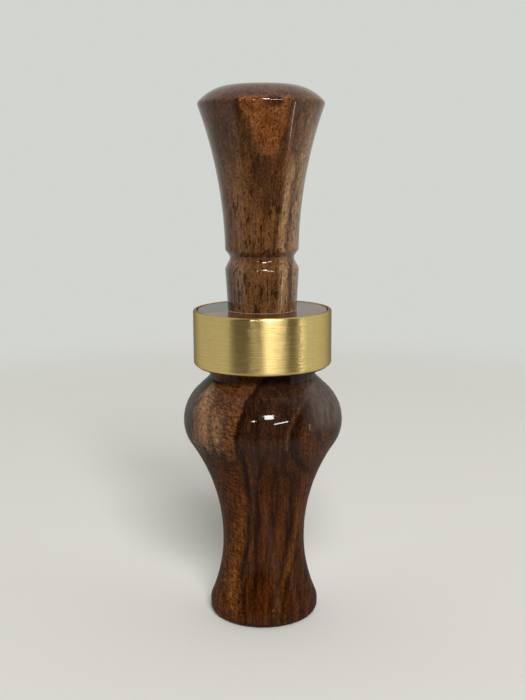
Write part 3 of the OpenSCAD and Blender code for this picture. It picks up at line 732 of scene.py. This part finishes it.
size = barrelShape
slopeAngle = math.radians(size["bulbTopAngle"])
slope = (size["bulb"] - size["bulbTop"] * (1 - math.cos(slopeAngle)) - size["neck"]) / math.sin(slopeAngle)
creaseHeight = size["seatFoot"] - size["neckHeight"]
bulbHeight = creaseHeight - size["bulbTop"] * math.sin(slopeAngle) - slope * math.cos(slopeAngle)
lipMiddle, bulbMiddle = size["lip"] - size["lipEdge"], size["bulb"] - size["bulbLow"]
lowSweep, lowAngle = sweep(size["waist"], lipMiddle, size["lipEdge"], size["waistHeight"] - size["lipHeight"])
topSweep, topAngle = sweep(size["waist"], bulbMiddle, size["bulbLow"], bulbHeight - size["waistHeight"])
barrelSection = (
    arc((size["bore"] + size["mouthEdge"], size["mouthEdge"]), size["mouthEdge"], 180, 270, 10)
    + arc((size["lip"] - size["footEdge"], size["footEdge"]), size["footEdge"], 270, 360, 12)
    + arc((lipMiddle, size["lipHeight"]), size["lipEdge"], 0, lowAngle)
    + arc((size["waist"] + lowSweep, size["waistHeight"]), lowSweep, 180 + lowAngle, 180)[1:]
    + arc((size["waist"] + topSweep, size["waistHeight"]), topSweep, 180, 180 - topAngle, 30)[1:]
    + arc((bulbMiddle, bulbHeight), size["bulbLow"], -topAngle, 0)[1:]
    + arc((size["bulb"] - size["bulbTop"], bulbHeight), size["bulbTop"], 0, size["bulbTopAngle"], 30)[1:]
    + [(size["neck"], creaseHeight)]
    + arc((size["neck"] + size["cove"], size["seatFoot"] - size["cove"]), size["cove"], 180, 90, 8)
    + [(size["seat"], size["seatFoot"]), (size["seat"], size["height"] - size["faceEdge"]),
       (size["seat"] - size["faceEdge"], size["height"])]
    + [(size["bore"] + out, size["height"] + up) for out, up in size["bead"]])
finishPiece(turnOnLathe(barrelSection, size["soften"]), "turned_barrel", "barrel", "barrel",
            makeBarrelWood(barrelWood))


# Band
bandShape = dict(outer=15.875, bore=15.075, foot=60.1, height=12.7, lowEdge=0.7, topEdge=0.5, soften=0.06)

size = bandShape
bandTop = size["foot"] + size["height"]
bandSection = (
    [(size["bore"], size["foot"])]
    + arc((size["outer"] - size["lowEdge"], size["foot"] + size["lowEdge"]), size["lowEdge"], 270, 360, 12)
    + arc((size["outer"] - size["topEdge"], bandTop - size["topEdge"]), size["topEdge"], 0, 90, 12)
    + [(size["bore"], bandTop)])
finishPiece(turnOnLathe(bandSection, size["soften"]), "brass_band", "barrel", "band",
            makeBandBrass(bandBrass))


# Insert
insertShape = dict(face=72.7, out=49.8, tenon=18.4, tenonRadius=7.7975, rootRadius=7.8775, rootLead=0.8,
                   tenonEdge=0.4, collar=8.42, grooveLow=9.5, grooveFloor=11.8, grooveTop=13.6,
                   floorRadius=7.33, floorRound=1.3, flareFoot=8.36, flareFootHeight=12.2, rim=14.15,
                   rimEdge=1.0, crownHeight=4.15, crown=6.0, lipRound=0.75, mouthDepth=22.0, bore=3.97,
                   mortise=4.8125, mortiseTop=66.3, ringHeights=(60.3, 68.3), ringGroove=2.0,
                   ringFloor=6.4775, soften=0.1, grooveEdge=0.45)

size = insertShape
top, tenonFoot = size["face"] + size["out"], size["face"] - size["tenon"]
rimHeight, rimMiddle = top - size["crownHeight"], size["rim"] - size["rimEdge"]
grooveLow = (size["collar"], size["face"] + size["grooveLow"])
grooveMiddle = (size["floorRadius"] + size["floorRound"], size["face"] + size["grooveFloor"])
flareHeight = size["face"] + size["flareFootHeight"]
flare, flareAngle = sweep(size["flareFoot"], rimMiddle, size["rimEdge"], rimHeight - flareHeight)
flareStart = math.degrees(math.asin((size["grooveTop"] - size["flareFootHeight"]) / flare))
grooveTop = (size["flareFoot"] + flare * (1 - math.cos(math.radians(flareStart))),
             size["face"] + size["grooveTop"])
crownArc = (((rimMiddle - size["crown"]) ** 2 + size["crownHeight"] ** 2 - size["rimEdge"] ** 2)
            / (2 * (size["crownHeight"] - size["rimEdge"])))
crownAngle = math.degrees(math.atan2(rimHeight - top + crownArc, rimMiddle - size["crown"]))
grooveSteps = ((size["tenonRadius"], -1), (size["ringFloor"], -1), (size["ringFloor"], 1),
               (size["tenonRadius"], 1))
ringGrooves = [(radius, height + side * size["ringGroove"] / 2)
               for height in size["ringHeights"] for radius, side in grooveSteps]
insertSection = (
    [(size["mortise"], tenonFoot), (size["tenonRadius"] - size["tenonEdge"], tenonFoot),
     (size["tenonRadius"], tenonFoot + size["tenonEdge"])]
    + ringGrooves
    + [(size["tenonRadius"], size["face"] - size["rootLead"]), (size["rootRadius"], size["face"]), grooveLow]
    + arc(grooveMiddle, size["floorRound"],
          360 + touchAngle(grooveLow, grooveMiddle, size["floorRound"], -1),
          touchAngle(grooveTop, grooveMiddle, size["floorRound"], 1), 10)
    + arc((size["flareFoot"] + flare, flareHeight), flare, 180 - flareStart, 180 - flareAngle, 34)
    + arc((rimMiddle, rimHeight), size["rimEdge"], -flareAngle, crownAngle, 14)[1:]
    + arc((size["crown"], top - crownArc), crownArc, crownAngle, 90, 18)[1:]
    + arc((size["crown"], top - size["lipRound"]), size["lipRound"], 90, 180, 12)[1:]
    + [(size["bore"], top - size["mouthDepth"]), (size["bore"], size["mortiseTop"]),
       (size["mortise"], size["mortiseTop"])])
insertBlank = turnOnLathe(insertSection, size["soften"], rounded=(grooveLow[1], size["grooveEdge"]))
finishPiece(insertBlank, "turned_insert", "insert", "insert", makeInsertWood(insertWood))


# Seal rings
ringShape = dict(middle=7.1975, thick=0.7, upper=68.3, lower=60.3, sides=24, turns=120)

rubber = makeRingRubber(ringRubber)
for name, node, height in (("upper_seal", "o_ring_upper", ringShape["upper"]),
                           ("lower_seal", "o_ring_lower", ringShape["lower"])):
    section = arc((ringShape["middle"], height), ringShape["thick"], 0, 360, ringShape["sides"])[:-1]
    finishPiece(turnOnLathe(section, 0, ringShape["turns"]), name, "seal_rings", node, rubber)


# Tone board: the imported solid's shape, with its machined edges eased. Angles are degrees
boardShape = dict(ease=0.12, segments=2, merged=1e-6, flat=0.5, sharp=40.0)

bm = bmesh.new()
bm.from_mesh(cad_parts["tone_board"].data)
bmesh.ops.remove_doubles(bm, verts=bm.verts, dist=boardShape["merged"])
bmesh.ops.dissolve_limit(bm, angle_limit=math.radians(boardShape["flat"]), verts=bm.verts, edges=bm.edges)
corners = [edge for edge in bm.edges if len(edge.link_faces) == 2 and edge.is_convex
           and edge.calc_face_angle(0) > math.radians(boardShape["sharp"])]
roundOff(bm, corners, boardShape["ease"], boardShape["segments"])
finishPiece(bm, "machined_board", "insert", "tone_board", makeBoardAcetal(boardAcetal))


# Reeds: strips of film, cut with round corners and sliced across along their length
reedShape = dict(width=9.5, thick=0.25, corner=1.5, cornerSegments=8, top=52.0, boardFlat=-0.6,
                 tips=(15.6, 18.6), slices=46, bendStart=38.0, bendEnd=12.0)

size = reedShape
film = makeReedFilm(reedFilm)
for layer, (name, node) in enumerate((("long_reed_film", "long_reed"), ("short_reed_film", "short_reed"))):
    tip = size["tips"][layer]
    long = size["top"] - tip
    bm = bmesh.new()
    bmesh.ops.create_grid(bm, x_segments=1, y_segments=1, size=0.5)
    middle = (0, (size["boardFlat"] - layer * size["thick"]) * mm, (tip + long / 2) * mm)
    bmesh.ops.transform(bm, verts=bm.verts, matrix=(
        Matrix.Translation(middle) @ Matrix.Rotation(math.radians(90), 4, "X")
        @ Matrix.Diagonal((size["width"] * mm, long * mm, 1, 1))))
    tipCorners = [corner for corner in bm.verts if corner.co.z < (tip + 1) * mm]
    roundOff(bm, tipCorners, size["corner"], size["cornerSegments"], "VERTICES")
    for cut in range(1, size["slices"]):
        height = tip + size["corner"] + (long - size["corner"]) * cut / size["slices"]
        bmesh.ops.bisect_plane(bm, geom=bm.verts[:] + bm.edges[:] + bm.faces[:],
                               plane_co=(0, 0, height * mm), plane_no=(0, 0, 1))
    thickened = bmesh.ops.extrude_face_region(bm, geom=bm.faces[:])["geom"]
    bmesh.ops.translate(bm, vec=(0, -size["thick"] * mm, 0),
                        verts=[part for part in thickened if isinstance(part, bmesh.types.BMVert)])
    bmesh.ops.recalc_face_normals(bm, faces=bm.faces)
    reed = finishPiece(bm, name, None, node, film)
    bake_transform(reed)


# Cork wedge: five points seen from the side, drawn out across the slot
corkShape = dict(width=9.5, back=-1.1, front=-3.8, top=52.0, slotFoot=44.0, foot=42.2, thin=0.9,
                 soften=0.18, segments=3)

size = corkShape
bm = bmesh.new()
side = [bm.verts.new((-size["width"] / 2 * mm, across * mm, height * mm)) for across, height in (
    (size["back"], size["top"]), (size["front"], size["top"]), (size["front"], size["slotFoot"]),
    (size["back"] - size["thin"], size["foot"]), (size["back"], size["foot"]))]
drawn = bmesh.ops.extrude_face_region(bm, geom=[bm.faces.new(side)])["geom"]
bmesh.ops.translate(bm, vec=(size["width"] * mm, 0, 0),
                    verts=[part for part in drawn if isinstance(part, bmesh.types.BMVert)])
bmesh.ops.recalc_face_normals(bm, faces=bm.faces)
roundOff(bm, bm.edges[:], size["soften"], size["segments"])
finishPiece(bm, "cut_cork", "insert", "cork_wedge", makeWedgeCork(wedgeCork))
